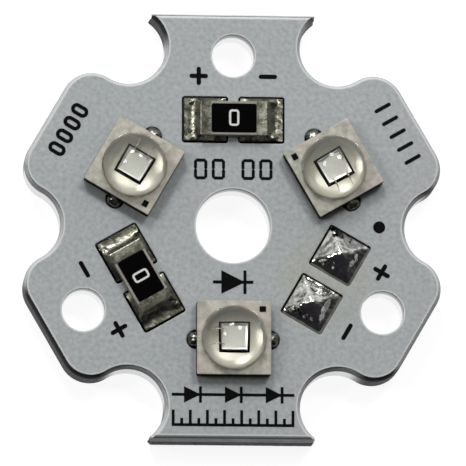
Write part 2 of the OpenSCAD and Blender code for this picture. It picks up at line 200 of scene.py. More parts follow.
# Angles of the stations around the board
STEP = math.radians(60)
LED_ANGLES = [math.radians(a) for a in (30, 150, 270)]
PAIR_ANGLES = [math.radians(a) for a in (90, 210, 330)]
WIRE_PADS_AT = (PAIR_R * math.cos(PAIR_ANGLES[2]), PAIR_R * math.sin(PAIR_ANGLES[2]), BOARD_TOP)
SCORED_TABS = (1, 4)
NOTCH_AT = Vector((NOTCH_CIRCLE_R * math.cos(STEP / 2), NOTCH_CIRCLE_R * math.sin(STEP / 2)))


# Outlines: lists of plan points, counterclockwise around material and clockwise around a hole

def polar(r, angle):
    return Vector((r * math.cos(angle), r * math.sin(angle)))


def arc(centre, r, start, end, count):
    return [centre + polar(r, start + (end - start) * i / count) for i in range(count + 1)]


def turned(points, angle):
    spin = Matrix.Rotation(angle, 2)
    return [spin @ p for p in points]


def moved(points, x, y):
    return [p + Vector((x, y)) for p in points]


def hole(centre, r, count=72):
    return arc(centre, r, 0, -2 * math.pi, count)[:-1]


def rounded_rectangle(width, height, r, count=6):
    points = []
    for i, (sx, sy) in enumerate(((1, 1), (-1, 1), (-1, -1), (1, -1))):
        centre = Vector((sx * (width / 2 - r), sy * (height / 2 - r)))
        points += arc(centre, r, i * math.pi / 2, (i + 1) * math.pi / 2, count)
    return points


def inset(ring, depth):
    """The outline moved into its material by a depth."""
    sharpest = 0.4
    result = []
    for i, here in enumerate(ring):
        before = (here - ring[i - 1]).normalized()
        after = (ring[(i + 1) % len(ring)] - here).normalized()
        first = Vector((-before.y, before.x))
        middle = (first + Vector((-after.y, after.x))).normalized()
        result.append(here + middle * depth / max(sharpest, middle.dot(first)))
    return result


def side_tab(depth):
    """A side tab with round corners, from its clockwise notch to the other one, in the tab's own frame."""
    round_x = SIDE_FLAT - TAB_ROUND
    drop = math.sqrt((NOTCH_R + TAB_ROUND) ** 2 - (round_x - NOTCH_AT.x) ** 2)
    centre = Vector((round_x, NOTCH_AT.y - drop))
    touch = NOTCH_AT - centre
    upper = arc(centre, TAB_ROUND - depth, 0, math.atan2(touch.y, touch.x), count=20)
    lower = [Vector((p.x, -p.y)) for p in reversed(upper)]
    return lower + upper


def scored_tab(reach, notch_r):
    """A scored tab with blunt corners, cut back to a reach, in the tab's own frame."""
    out = reach - NOTCH_AT.x
    ear = NOTCH_AT.y + (EAR_HALF - NOTCH_AT.y) * out / (FLAT - NOTCH_AT.x)
    corner = min(ear, NOTCH_AT.y - math.sqrt(max(0, notch_r ** 2 - out ** 2)))
    count = 90
    return [Vector((reach, corner * (2 * i / count - 1))) for i in range(count + 1)]


def board_outline(reach, depth):
    """The board's outline with its scored flats at a reach, and the rest moved in by a depth."""
    notch_r = NOTCH_R + depth
    tabs = [scored_tab(reach, notch_r) if i in SCORED_TABS else side_tab(depth) for i in range(6)]
    tabs = [turned(tab, STEP * (i + 0.5)) for i, tab in enumerate(tabs)]
    outline = []
    for i, tab in enumerate(tabs):
        centre = polar(NOTCH_CIRCLE_R, STEP * (i + 1))
        start = tab[-1] - centre
        end = tabs[(i + 1) % 6][0] - centre
        sweep = (math.atan2(end.y, end.x) - math.atan2(start.y, start.x)) % (2 * math.pi) - 2 * math.pi
        first = math.atan2(start.y, start.x)
        outline += tab + arc(centre, notch_r, first, first + sweep, count=60)[1:-1]
    return outline


def score_reach(z):
    """How far out a scored flat stands at a height."""
    from_face = min(z, BOARD_TOP - z)
    return FLAT - SCORE_RUN * max(0, 1 - from_face / SCORE_DEPTH)


def board_holes():
    pegs = [hole(polar(PEG_CIRCLE_R, a), PEG_R) for a in PAIR_ANGLES]
    return [hole(Vector((0, 0)), BORE_R, count=96)] + pegs


def board_rings(z, depth=0, margin=0):
    """Outlines of the board at a height, cut back by a depth. A margin draws in the punched edge alone."""
    outline = board_outline(score_reach(z) - depth, depth + margin)
    return [outline] + [inset(ring, depth) for ring in board_holes()]


def mask_openings():
    """Openings over the lands and under the emitters, clockwise."""
    openings = []
    land = rounded_rectangle(LAND_ACROSS, LAND_ALONG, LAND_CORNER_R)
    for angle in PAIR_ANGLES:
        for side in (-1, 1):
            openings.append(turned(moved(land, PAIR_R, side * LAND_OUT), angle))
    thermal_l = THERMAL_SIZE.y + 2 * OPENING_GAP
    thermal_w = THERMAL_SIZE.x + 2 * OPENING_GAP
    thermal = rounded_rectangle(thermal_l, thermal_w, LAND_CORNER_R)
    near = SIDE_PAD_OUT - SIDE_PAD_SIZE.x / 2 - OPENING_GAP
    far = SIDE_PAD_OUT + SIDE_PAD_SIZE.x / 2 + OPENING_GAP
    half = SIDE_PAD_SIZE.y / 2 + OPENING_GAP
    bead = BEAD_R + OPENING_GAP
    tip = math.asin((far - LED_W / 2) / bead)
    keyhole = [Vector((-half, far)), Vector((-half, near)), Vector((half, near)), Vector((half, far))]
    keyhole += arc(Vector((0, LED_W / 2)), bead, tip, math.pi - tip, count=24)
    for angle in LED_ANGLES:
        for opening in (thermal, keyhole, [-p for p in keyhole]):
            openings.append(turned(moved(opening, LED_R, 0), angle))
    return [list(reversed(points)) for points in openings]


# Meshes

# Flat ends are filled at this scale, because the fill joins points that are closer than its own tolerance
FILL_SCALE = 10000


def loft(levels, bm=None):
    """A closed solid through stacked outlines. A level is a height, its outlines and their edge mark."""
    bm = bm or bmesh.new()
    mark = bm.verts.layers.float.get("edge") or bm.verts.layers.float.new("edge")
    stacks = []
    made = []
    for z, rings, value in levels:
        stack = [[bm.verts.new((p.x, p.y, z)) for p in ring] for ring in rings]
        for vert in (v for loop in stack for v in loop):
            vert[mark] = value
        stacks.append(stack)
    for low, high in zip(stacks, stacks[1:]):
        for a, b in zip(low, high):
            for i in range(len(a)):
                made.append(bm.faces.new((a[i - 1], a[i], b[i], b[i - 1])))
    for face in made:
        face.smooth = True
    for stack in (stacks[0], stacks[-1]):
        edges = [bm.edges.get((loop[i - 1], loop[i])) for loop in stack for i in range(len(loop))]
        verts = [vert for loop in stack for vert in loop]
        bmesh.ops.scale(bm, vec=(FILL_SCALE,) * 3, verts=verts)
        filled = bmesh.ops.triangle_fill(bm, edges=edges, use_beauty=True)
        bmesh.ops.scale(bm, vec=(1 / FILL_SCALE,) * 3, verts=verts)
        made += [g for g in filled["geom"] if isinstance(g, bmesh.types.BMFace)]
    bmesh.ops.recalc_face_normals(bm, faces=made)
    return bm


def band(path):
    """A closed ring through outlines of as many points, each at its height, the last joined to the first."""
    bm = bmesh.new()
    bm.verts.layers.float.new("edge")
    loops = [[bm.verts.new((p.x, p.y, z)) for p in outline] for outline, z in path]
    for a, b in zip(loops, loops[1:] + loops[:1]):
        for i in range(len(a)):
            bm.faces.new((a[i - 1], a[i], b[i], b[i - 1]))
    bmesh.ops.recalc_face_normals(bm, faces=bm.faces)
    return bm


def rim_levels(top, rings_at, rim, steps=3):
    """Levels that round the upper rim of a solid. rings_at gives its outlines at a height and a depth."""
    levels = []
    for i in range(steps + 1):
        a = i / steps * math.pi / 2
        z = top - rim * (1 - math.sin(a))
        levels.append((z, rings_at(z, rim * (1 - math.cos(a))), 1))
    return levels


def slab(outline, bottom, top, rim, bm=None, mark=1):
    """A flat solid with its upper and lower rims rounded, and one value of the edge mark all over."""
    rounded = rim_levels(top, lambda z, depth: [inset(outline, depth)], rim)
    upper = [(z, rings, mark) for z, rings, value in rounded]
    lower = [(bottom + top - z, rings, mark) for z, rings, value in reversed(upper)]
    return loft(lower + upper, bm)


def near_edge(x, y, size_x, size_y):
    """Distance to the nearest edge of a rectangle."""
    return min(size_x / 2 - abs(x), size_y / 2 - abs(y))


def near_upper_edges(x, y, size_x, size_y):
    """Distance to the nearer one of a rectangle's edges at -x and at +y."""
    return min(size_x / 2 + x, size_y / 2 - y)


def pool(size_x, size_y, bottom, height, cells=80, edge_shade=near_edge):
    """A closed solid over a rectangle, with its top at a height that depends on the place."""
    bm = bmesh.new()
    mark = bm.verts.layers.float.new("edge")
    grid = []
    for i in range(cells + 1):
        x = size_x * (i / cells - 0.5)
        row = []
        for j in range(cells + 1):
            y = size_y * (j / cells - 0.5)
            vert = bm.verts.new((x, y, height(x, y, near_edge(x, y, size_x, size_y))))
            # Near black close to the chosen edges: painted shade
            vert[mark] = smooth_step(EDGE_SHADE_GAIN * (1 - edge_shade(x, y, size_x, size_y) / SOLDER_RIM))
            row.append(vert)
        grid.append(row)
    for i in range(cells):
        for j in range(cells):
            face = bm.faces.new((grid[i][j], grid[i + 1][j], grid[i + 1][j + 1], grid[i][j + 1]))
            face.smooth = True
    border = [grid[i][0] for i in range(cells)] + [grid[cells][j] for j in range(cells)]
    border += [grid[i][cells] for i in range(cells, 0, -1)] + [grid[0][j] for j in range(cells, 0, -1)]
    under = [bm.verts.new((v.co.x, v.co.y, bottom)) for v in border]
    for vert in under:
        vert[mark] = 1
    for i in range(len(border)):
        bm.faces.new((border[i - 1], under[i - 1], under[i], border[i]))
    bm.faces.new(under)
    bmesh.ops.recalc_face_normals(bm, faces=bm.faces)
    return bm


def lathe(profile, segments=96):
    """A solid of revolution about Z. The profile runs from its top to its bottom, both on the axis."""
    bm = bmesh.new()
    top = bm.verts.new((0, 0, profile[0].y))
    bottom = bm.verts.new((0, 0, profile[-1].y))
    loops = []
    for point in profile[1:-1]:
        ring = [polar(point.x, 2 * math.pi * i / segments) for i in range(segments)]
        loops.append([bm.verts.new((p.x, p.y, point.y)) for p in ring])
    for i in range(segments):
        bm.faces.new((top, loops[0][i - 1], loops[0][i]))
        bm.faces.new((bottom, loops[-1][i], loops[-1][i - 1]))
        for a, b in zip(loops, loops[1:]):
            bm.faces.new((a[i - 1], b[i - 1], b[i], a[i]))
    for face in bm.faces:
        face.smooth = True
    bmesh.ops.recalc_face_normals(bm, faces=bm.faces)
    return bm


def ripple(x, y, size, seed):
    """Rolling noise from about -1 to 1, with features of a size."""
    octaves = ((1, 1), (2.1, 0.5), (4.3, 0.25))
    place = Vector((x / size, y / size, seed))
    return sum(weight * noise.noise(place * scale) for scale, weight in octaves)


def smooth_step(value):
    t = min(1, max(0, value))
    return t * t * (3 - 2 * t)


def soft_min(a, b, width):
    h = max(0, 1 - abs(a - b) / width)
    return min(a, b) - h * h * width / 4


SHARP = math.radians(40)


def add_piece(name, bm, finishes, replaced=(), place=None):
    """Puts a finished mesh into the scene, in its place on the board."""
    for edge in bm.edges:
        edge.smooth = len(edge.link_faces) != 2 or edge.calc_face_angle(0) < SHARP
    mesh = bpy.data.meshes.new(name)
    bm.to_mesh(mesh)
    bm.free()
    if place:
        mesh.transform(place)
    for finish in finishes:
        mesh.materials.append(finish)
    return ride_piece(into_scene(name, mesh), replaced)


def into_scene(name, data):
    obj = bpy.data.objects.new(name, data)
    bpy.context.scene.collection.objects.link(obj)
    return obj


def ride_piece(obj, replaced=()):
    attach(obj, "root")
    if replaced:
        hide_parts(*replaced)
    return obj


def station(angle, r):
    return Matrix.Rotation(angle, 4, "Z") @ Matrix.Translation((r, 0, 0))


# Node trees

FLOAT = "NodeSocketFloat"
VECTOR = "NodeSocketVector"


class Nodes:
    """A node tree with short ways to add nodes and feed them."""

    def __init__(self, tree):
        self.tree = tree

    def feed(self, target, value):
        """Joins an input to another node's output, or sets it to a plain value."""
        if isinstance(value, bpy.types.NodeSocket):
            self.tree.links.new(value, target)
        else:
            target.default_value = value

    def add(self, kind, feeds=None, **settings):
        node = self.tree.nodes.new(kind)
        for key, value in settings.items():
            setattr(node, key, value)
        for key, value in (feeds or {}).items():
            self.feed(node.inputs[key], value)
        return node

    def math(self, operation, *values, clamp=False):
        feeds = dict(enumerate(values))
        return self.add("ShaderNodeMath", feeds, operation=operation, use_clamp=clamp).outputs[0]

    def vector(self, **parts):
        return self.add("ShaderNodeCombineXYZ", parts).outputs["Vector"]

    def vector_math(self, operation, first, second):
        return self.add("ShaderNodeVectorMath", {0: first, 1: second}, operation=operation).outputs

    def noise_at(self, place, scale, detail):
        feeds = {"Vector": place, "Scale": scale, "Detail": detail}
        return self.add("ShaderNodeTexNoise", feeds).outputs["Fac"]

    def group(self, group, output, **inputs):
        """An output of a shared effect that lies on the piece's own coordinates."""
        feeds = {"Place": self.add("ShaderNodeTexCoord").outputs["Object"]}
        for key, value in inputs.items():
            feeds[key.replace("_", " ").title()] = value
        return self.add("ShaderNodeGroup", feeds, node_tree=group).outputs[output]

    def mottle(self, size, fine, contrast):
        return self.group(MOTTLE, "Mask", feature_size=size, fine_share=fine, contrast=contrast)

    def mark(self):
        return self.add("ShaderNodeAttribute", attribute_name="edge").outputs["Fac"]

    def mix(self, factor, low, high):
        node = self.add("ShaderNodeMix", data_type="RGBA")
        sockets = {socket.identifier: socket for socket in node.inputs}
        for key, value in (("Factor_Float", factor), ("A_Color", low), ("B_Color", high)):
            self.feed(sockets[key], value)
        return next(s for s in node.outputs if s.identifier == "Result_Color")

    def span(self, value, low, high):
        """A value from 0 to 1 spread between low and high."""
        feeds = {"Value": value, "To Min": low, "To Max": high}
        return self.add("ShaderNodeMapRange", feeds, clamp=True).outputs["Result"]

    def layer(self, below, mask, strength, colour):
        """A colour laid over another where a mask is, at a strength."""
        return self.mix(self.span(mask, 0, strength), below, colour)

    def share(self, value, low, high):
        """A smooth step from 0 at low to 1 at high."""
        feeds = {"Value": value, "From Min": low, "From Max": high}
        return self.add("ShaderNodeMapRange", feeds, interpolation_type="SMOOTHSTEP").outputs["Result"]

    def bump(self, height, strength, distance):
        feeds = {"Strength": strength, "Distance": distance, "Height": height}
        return self.add("ShaderNodeBump", feeds).outputs["Normal"]


class Finish(Nodes):
    """A material with one Principled shader, and the values that are the same all over it."""

    def __init__(self, name, **plain):
        self.material = bpy.data.materials.new(name)
        self.material.use_nodes = True
        super().__init__(self.material.node_tree)
        self.dress(**plain)

    def dress(self, **feeds):
        """Feeds the shader's inputs by name, and gives the material."""
        surface = self.tree.nodes["Principled BSDF"].inputs
        for key, value in feeds.items():
            self.feed(surface[key.replace("_", " ").title().replace("Ior", "IOR")], value)
        return self.material

    def skin(self, colour, mask, smooth, dull, strength, depth):
        """The material with a colour, and with roughness and relief that follow a mask."""
        return self.dress(base_color=colour, roughness=self.span(mask, smooth, dull),
                          normal=self.bump(mask, strength, depth))


def rgb(red, green, blue):
    """A colour as it is seen, from 0 to 255, as the shader wants it."""
    def linear(c):
        c /= 255
        return c / 12.92 if c <= 0.04045 else ((c + 0.055) / 1.055) ** 2.4
    return (linear(red), linear(green), linear(blue), 1)


def new_group(name, kind, inputs, outputs):
    """An empty node group with its sockets. Inputs are labels, kinds and values, or None for no value."""
    group = bpy.data.node_groups.new(name, kind)
    for label, socket_kind, value in inputs:
        socket = group.interface.new_socket(label, in_out="INPUT", socket_type=socket_kind)
        if value is not None:
            socket.default_value = value
    for label, socket_kind in outputs:
        group.interface.new_socket(label, in_out="OUTPUT", socket_type=socket_kind)
    nodes = Nodes(group)
    return group, nodes, nodes.add("NodeGroupInput").outputs, nodes.add("NodeGroupOutput").inputs


def mottle_group():
    """Two sizes of noise, mixed, as a mask with a set contrast."""
    group, nodes, given, out = new_group("mottle", "ShaderNodeTree", [
        ("Place", VECTOR, None), ("Feature Size", FLOAT, 1.0 * MM), ("Fine Share", FLOAT, 0.4),
        ("Contrast", FLOAT, 1.0)], [("Mask", FLOAT)])
    place = nodes.vector_math("DIVIDE", given["Place"], given["Feature Size"])["Vector"]
    wide = nodes.noise_at(place, 1, 4)
    fine = nodes.noise_at(place, 9, 2)
    both = nodes.add("ShaderNodeMix", {"Factor": given["Fine Share"], "A": wide, "B": fine})
    centred = nodes.math("SUBTRACT", both.outputs["Result"], 0.5)
    nodes.feed(out["Mask"], nodes.math("MULTIPLY_ADD", centred, given["Contrast"], 0.5, clamp=True))
    return group


def brushed_group():
    """Fine parallel lines along a direction, as a height."""
    group, nodes, given, out = new_group("brushed", "ShaderNodeTree", [
        ("Place", VECTOR, None), ("Stretch", VECTOR, (1, 1, 1))], [("Height", FLOAT)])
    place = nodes.vector_math("MULTIPLY", given["Place"], given["Stretch"])["Vector"]
    nodes.feed(out["Height"], nodes.noise_at(place, 1, 3))
    return group


def stain_group():
    """A cloudy stain around a place, as a mask."""
    group, nodes, given, out = new_group("stain", "ShaderNodeTree", [
        ("Place", VECTOR, None), ("Middle", VECTOR, (0, 0, 0)), ("Reach", FLOAT, 1.0 * MM)],
        [("Mask", FLOAT)])
    away = nodes.vector_math("DISTANCE", given["Place"], given["Middle"])["Value"]
    near = nodes.share(nodes.math("DIVIDE", away, given["Reach"]), 1, 0.5)
    feeds = {"Place": given["Place"], "Feature Size": 0.9 * MM, "Contrast": 3}
    cloud = nodes.add("ShaderNodeGroup", feeds, node_tree=MOTTLE).outputs["Mask"]
    nodes.feed(out["Mask"], nodes.math("MULTIPLY", near, cloud))
    return group


def scratches_group():
    """Sparse hairlines that run one way, as a mask."""
    group, nodes, given, out = new_group("scratches", "ShaderNodeTree", [
        ("Place", VECTOR, None)], [("Mask", FLOAT)])
    turn = (0, 0, math.radians(-40))
    size = (1.1 * MM, 0.06 * MM, 1)
    feeds = {"Vector": given["Place"], "Rotation": turn, "Scale": size}
    along = nodes.add("ShaderNodeMapping", feeds, vector_type="TEXTURE").outputs["Vector"]
    nodes.feed(out["Mask"], nodes.share(nodes.noise_at(along, 1, 1), 0.68, 0.8))
    return group


MOTTLE = mottle_group()
BRUSHED = brushed_group()
STAIN = stain_group()
SCRATCHES = scratches_group()


# Finishes

def mask_finish():
    finish = Finish("solder_mask_grey", specular_ior_level=0.35)
    cloud = finish.mottle(1.6 * MM, 0.25, 1.8)
    body = finish.mix(cloud, rgb(167, 172, 175), rgb(179, 181, 182))
    grain = finish.mottle(0.2 * MM, 0.35, 2.4)
    speckled = finish.layer(body, grain, 0.9, rgb(134, 139, 140))
    flux = finish.group(STAIN, "Mask", middle=WIRE_PADS_AT, reach=2.9 * MM)
    stained = finish.layer(speckled, flux, 0.6, rgb(148, 149, 132))
    lines = finish.group(SCRATCHES, "Mask")
    scratched = finish.layer(stained, lines, 0.4, rgb(200, 203, 204))
    # Paler along the mask's rounded rim: partly the mask thinning there, partly a painted highlight of the
    # rounded edge
    rim_thinned_and_highlit = finish.layer(scratched, finish.mark(), 0.8, rgb(208, 211, 212))
    return finish.dress(base_color=rim_thinned_and_highlit, roughness=finish.span(cloud, 0.42, 0.52),
                        normal=finish.bump(grain, 0.12, 0.01 * MM))


def ink_finish(name, dark, light, rough):
    finish = Finish(name, specular_ior_level=0.06)
    grain = finish.mottle(0.12 * MM, 0.4, 2)
    return finish.skin(finish.mix(grain, dark, light), grain, rough - 0.05, rough + 0.08, 0.2, 0.006 * MM)


def aluminium_finish(name, stretch, low, high, stained, marked, rough, metallic,
                     gloss=0.5, marked_metallic=1):
    """Worked aluminium: lines along the tool's way, dull stains, and a colour of its own at the mark, which
    on the core carries painted light and shade.
    """
    finish = Finish(name, specular_ior_level=gloss)
    drag = finish.group(BRUSHED, "Height", stretch=stretch)
    stain = finish.mottle(0.9 * MM, 0.4, 2)
    dull = finish.layer(finish.mix(drag, low, high), stain, 0.5, stained)
    if marked_metallic != metallic:
        metallic = finish.span(finish.mark(), metallic, marked_metallic)
    finish.dress(metallic=metallic)
    body = finish.mix(finish.mark(), dull, marked)
    return finish.skin(body, drag, rough - 0.1, rough + 0.1, 0.3, 0.02 * MM)


def resin_finish():
    finish = Finish("dielectric_resin", roughness=0.55)
    cloud = finish.mottle(0.3 * MM, 0.5, 1.5)
    return finish.dress(base_color=finish.mix(cloud, rgb(62, 60, 55), rgb(84, 82, 76)))


def metal_finish(name, low, high, rough_low, rough_high, feature, bump=0.1):
    finish = Finish(name, metallic=1)
    cloud = finish.mottle(feature, 0.35, 1.8)
    return finish.skin(finish.mix(cloud, low, high), cloud, rough_low, rough_high, bump, 0.01 * MM)


def solder_finish(name, low, high, burnt, rough, dull):
    """Bright tin with a dull skin in patches and burnt flux on part of it, and near black at the mark:
    painted shade along the edges of the lands, at the foot of each bead and on the joints under the
    emitters.
    """
    finish = Finish(name, metallic=1)
    skin = finish.mottle(0.35 * MM, 0.3, 2.4)
    crust = finish.mottle(0.42 * MM, 0.25, 3.4)
    crusted = finish.mix(finish.span(crust, -burnt, burnt), finish.mix(skin, low, high), rgb(52, 51, 42))
    # Near black at the mark: painted shade
    edge_shade = finish.layer(crusted, finish.mark(), 1, rgb(7, 7, 6))
    return finish.skin(edge_shade, skin, rough, dull, 0.15, 0.02 * MM)


def ceramic_finish(name, low, high, tint, rough):
    finish = Finish(name, specular_ior_level=0.4)
    cloud = finish.mottle(0.36 * MM, 0.3, 3.8)
    blush = finish.mottle(1.7 * MM, 0.1, 2.6)
    grain = finish.mottle(0.06 * MM, 0.5, 1.5)
    body = finish.layer(finish.mix(cloud, low, high), blush, 0.5, tint)
    # Near black at the mark: painted shade on the package's walls
    wall_shaded = finish.mix(finish.mark(), body, rgb(20, 19, 17))
    return finish.skin(wall_shaded, grain, rough - 0.08, rough + 0.08, 0.15, 0.006 * MM)


def field_finish():
    """The plated field around the chip: creamy silver with a fine satin grain."""
    finish = Finish("field_plating", metallic=1)
    grain = finish.mottle(0.05 * MM, 0.5, 1.6)
    cloud = finish.mottle(0.6 * MM, 0.2, 1.6)
    body = finish.mix(cloud, rgb(186, 184, 172), rgb(201, 200, 188))
    grained = finish.layer(body, grain, 0.3, rgb(168, 166, 154))
    return finish.skin(grained, grain, 0.39, 0.49, 0.15, 0.006 * MM)


def chip_finish():
    finish = Finish("chip_face", roughness=0.35, specular_ior_level=0.5)
    grain = finish.mottle(0.1 * MM, 0.4, 1.6)
    return finish.dress(base_color=finish.mix(grain, rgb(208, 210, 202), rgb(228, 229, 221)),
                        normal=finish.bump(grain, 0.1, 0.004 * MM))


def dark_finish(name, colour, rough):
    finish = Finish(name, specular_ior_level=0.02)
    grain = finish.mottle(0.1 * MM, 0.4, 1.8)
    body = finish.mix(grain, colour, rgb(9, 8, 8))
    return finish.skin(body, grain, rough - 0.04, rough + 0.04, 0.15, 0.006 * MM)


def dome_finish():
    finish = Finish("dome_silicone", transmission_weight=1, ior=1.41, roughness=0.02)
    cloud = finish.mottle(1.2 * MM, 0.2, 1)
    return finish.dress(base_color=finish.mix(cloud, rgb(250, 248, 243), rgb(254, 253, 250)))


MASK = mask_finish()
INK = ink_finish("legend_ink", rgb(3, 3, 4), rgb(8, 8, 9), 0.32)
PRINT = ink_finish("white_print", rgb(190, 190, 188), rgb(212, 212, 210), 0.55)
# The punched wall: dark non-metal grey as painted shade, and light metal at the mark as painted light
PUNCHED_WALL_SHADED = aluminium_finish("punched_aluminium_painted_shade", (9000, 9000, 900), rgb(50, 50, 52), rgb(88, 88, 91),
                           rgb(36, 36, 38), rgb(232, 233, 234), 0.5, 0, 0.05)
# The rolled lip: dark grey as painted shade, lighter at the mark on the sides that face the lamps, as
# painted light
ROLLED_LIP_LIT_AND_SHADED = aluminium_finish("punched_lip_painted_light_and_shade", (9000, 9000, 900), rgb(46, 46, 48), rgb(80, 80, 83),
                       rgb(34, 34, 36), rgb(190, 191, 193), 0.5, 0, 0.05, 0)
# The scored slopes: light at the mark, which only the upper slope has, as painted light
SCORED_SLOPE_LIT = aluminium_finish("scored_slope_painted_light", (3000, 3000, 900), rgb(96, 96, 100), rgb(132, 132, 136),
                          rgb(58, 58, 61), rgb(220, 220, 222), 0.34, 0.9)
# Hole walls: bright metal, with a near-black band of painted shade at the mark along their top
DRILLED_RIM_SHADED = aluminium_finish("drilled_aluminium_rim_painted_shade", (900, 900, 14000), rgb(236, 237, 238), rgb(248, 248, 249),
                           rgb(232, 233, 234), rgb(40, 40, 41), 0.18, 1)
BRUSHED_BACK = aluminium_finish("brushed_aluminium", (700, 16000, 700), rgb(172, 173, 176),
                                rgb(206, 207, 209), rgb(160, 161, 164), rgb(172, 173, 176), 0.38, 0.9)
RESIN = resin_finish()
COPPER = metal_finish("copper_foil", rgb(190, 120, 84), rgb(214, 146, 108), 0.3, 0.45, 0.3 * MM)
GOLD = metal_finish("pad_gold", rgb(214, 176, 96), rgb(236, 202, 128), 0.22, 0.34, 0.2 * MM)
WIRE = metal_finish("bond_wire", rgb(206, 200, 184), rgb(232, 226, 210), 0.2, 0.3, 0.1 * MM)
CAP_TIN = metal_finish("cap_tin", rgb(98, 98, 87), rgb(150, 149, 138), 0.1, 0.42, 0.3 * MM, 0.6)
DIE_METAL = metal_finish("die_metal", rgb(226, 226, 224), rgb(246, 246, 244), 0.25, 0.35, 0.08 * MM)
SOLDER = solder_finish("solder_tin", rgb(170, 170, 166), rgb(204, 204, 203), 0.22, 0.07, 0.16)
FILLET_SOLDER = solder_finish("solder_fillet", rgb(104, 104, 92), rgb(146, 145, 134), 0.7, 0.14, 0.44)
BEAD_SOLDER = solder_finish("solder_bead", rgb(104, 102, 95), rgb(150, 148, 141), 0.5, 0.18, 0.26)
CERAMIC = ceramic_finish("led_ceramic", rgb(134, 140, 126), rgb(188, 187, 175), rgb(190, 166, 162), 0.5)
ALUMINA = ceramic_finish("alumina", rgb(126, 125, 115), rgb(148, 147, 138), rgb(128, 121, 113), 0.45)
FIELD = field_finish()
CHIP_FACE = chip_finish()
CERAMIC_WALL_SHADE = dark_finish("ceramic_wall_painted_shade", rgb(26, 25, 22), 0.5)
# Near-black chip sides and trench lining: painted shade around the chip
CHIP_SIDE_SHADE = dark_finish("chip_side_painted_shade", rgb(10, 10, 11), 0.3)
TRENCH_SHADE = dark_finish("chip_attach", rgb(6, 6, 6), 0.35)
OVERCOAT = dark_finish("overcoat_black", rgb(2, 2, 2), 0.22)
DOME = dome_finish()


# Board

def torn_share(z):
    """How far the snapped web is torn at a height, from 0 to 1."""
    from_face = min(z, BOARD_TOP - z)
    return smooth_step((from_face - TORN_FROM * SCORE_DEPTH) / (TORN_FADE * SCORE_DEPTH))


def torn_rings(z, margin):
    """Outlines of the core at a height, torn where the scored flats snapped, the upper flat shorter."""
    rings = board_rings(z, 0, margin)
    reach = score_reach(z)
    near = 0.001 * MM
    seed = 3
    torn = []
    for p in rings[0]:
        if abs(p.y) > reach - near:
            rough = 0.5 + 0.5 * ripple(p.x, z + p.y, TORN_GRAIN, seed)
            bite = TORN_DEPTH * torn_share(z) * min(1, max(0, rough))
            whole = min(reach, FLAT - UPPER_SHORT) if p.y > 0 else reach
            p = Vector((p.x, math.copysign(whole - bite, p.y)))
        torn.append(p)
    return [torn] + rings[1:]


def core_levels():
    """Levels of the core: a small lower rim, straight walls, and an upper edge rolled over by the punch."""
    rim = rim_levels(CORE_RIM, lambda z, depth: board_rings(CORE_RIM - z, depth), CORE_RIM)
    levels = [(CORE_RIM - z, rings, 0) for z, rings, value in reversed(rim)]
    wall_rows = 20
    roll_rows = 8
    roll_bottom = CORE_TOP - ROLL_H
    for i in range(1, wall_rows + 1):
        z = CORE_RIM + (roll_bottom - CORE_RIM) * i / wall_rows
        levels.append((z, torn_rings(z, 0), 0))
    for i in range(1, roll_rows + 1):
        a = i / roll_rows * math.pi / 2
        z = roll_bottom + ROLL_H * math.sin(a)
        levels.append((z, torn_rings(z, EDGE_MARGIN * (1 - math.cos(a))), 0))
    return levels


def build_core():
    """The core. Its mark carries painted light and shade: a dark band of painted shade at the top of each
    hole, the lamp-facing parts of the rolled edge, the upper scored slope and a patch of the left punched
    wall, all painted light, and how deep in a notch that wall lies, where it is painted light. Elsewhere the
    punched wall and the rolled edge are dark, as painted shade."""
    bm = loft(core_levels())
    mark = bm.verts.layers.float["edge"]
    drilled = [(Vector((0, 0)), BORE_R)] + [(polar(PEG_CIRCLE_R, a), PEG_R) for a in PAIR_ANGLES]
    notches = [polar(NOTCH_CIRCLE_R, STEP * i) for i in range(6)]
    near = 0.005 * MM
    slope_bottom = BOARD_TOP - TORN_FROM * SCORE_DEPTH
    lip_bottom = CORE_TOP - ROLL_H + near
    bm.normal_update()

    def in_hole(place):
        return any((place - centre).length < r + CORE_RIM for centre, r in drilled)

    for vert in bm.verts:
        if in_hole(vert.co.xy):
            # A band of painted shade at the top of each hole wall
            vert[mark] = smooth_step(HOLE_RIM_SHADE_GAIN * (1 - (CORE_TOP - vert.co.z) / HOLE_RIM_SHADE_DEPTH))
        elif vert.co.z > lip_bottom:
            # Rolled lip painted light on the sides that face the lamps
            vert[mark] = smooth_step((vert.normal.xy.normalized().dot(LIP_LAMP_SIDE) - LIP_FROM) / LIP_FADE)
        # The upper scored slope painted light
        if vert.co.y > score_reach(CORE_TOP) - near and vert.co.z > slope_bottom:
            vert[mark] = 1
        # Wall deep in a notch painted light
        for centre in notches:
            out = vert.co.xy - centre
            if out.length < NOTCH_R + EDGE_MARGIN + near:
                inward = -out.normalized().dot(centre.normalized())
                deep = smooth_step((inward - NOTCH_DEEP_FROM) / NOTCH_DEEP_FADE)
                vert[mark] = max(deep, vert[mark]) if vert.co.z > lip_bottom else deep
        # A patch of the left wall painted light
        if vert.co.x < PAINTED_LIGHT_X and vert.co.y > near:
            vert[mark] = max(vert[mark], smooth_step((PAINTED_LIGHT_Y - vert.co.y) / PAINTED_LIGHT_FADE))
    for face in bm.faces:
        middle = face.calc_center_median()
        if face.normal.z < -0.7:
            face.material_index = 2
        elif in_hole(middle.xy):
            face.material_index = 1
        elif middle.z > slope_bottom and abs(middle.y) > score_reach(CORE_TOP) - near:
            face.material_index = 3
        elif middle.z > lip_bottom:
            face.material_index = 4
    finishes = [PUNCHED_WALL_SHADED, DRILLED_RIM_SHADED, BRUSHED_BACK, SCORED_SLOPE_LIT, ROLLED_LIP_LIT_AND_SHADED]
    add_piece("board_core", bm, finishes, ["aluminium_base"])


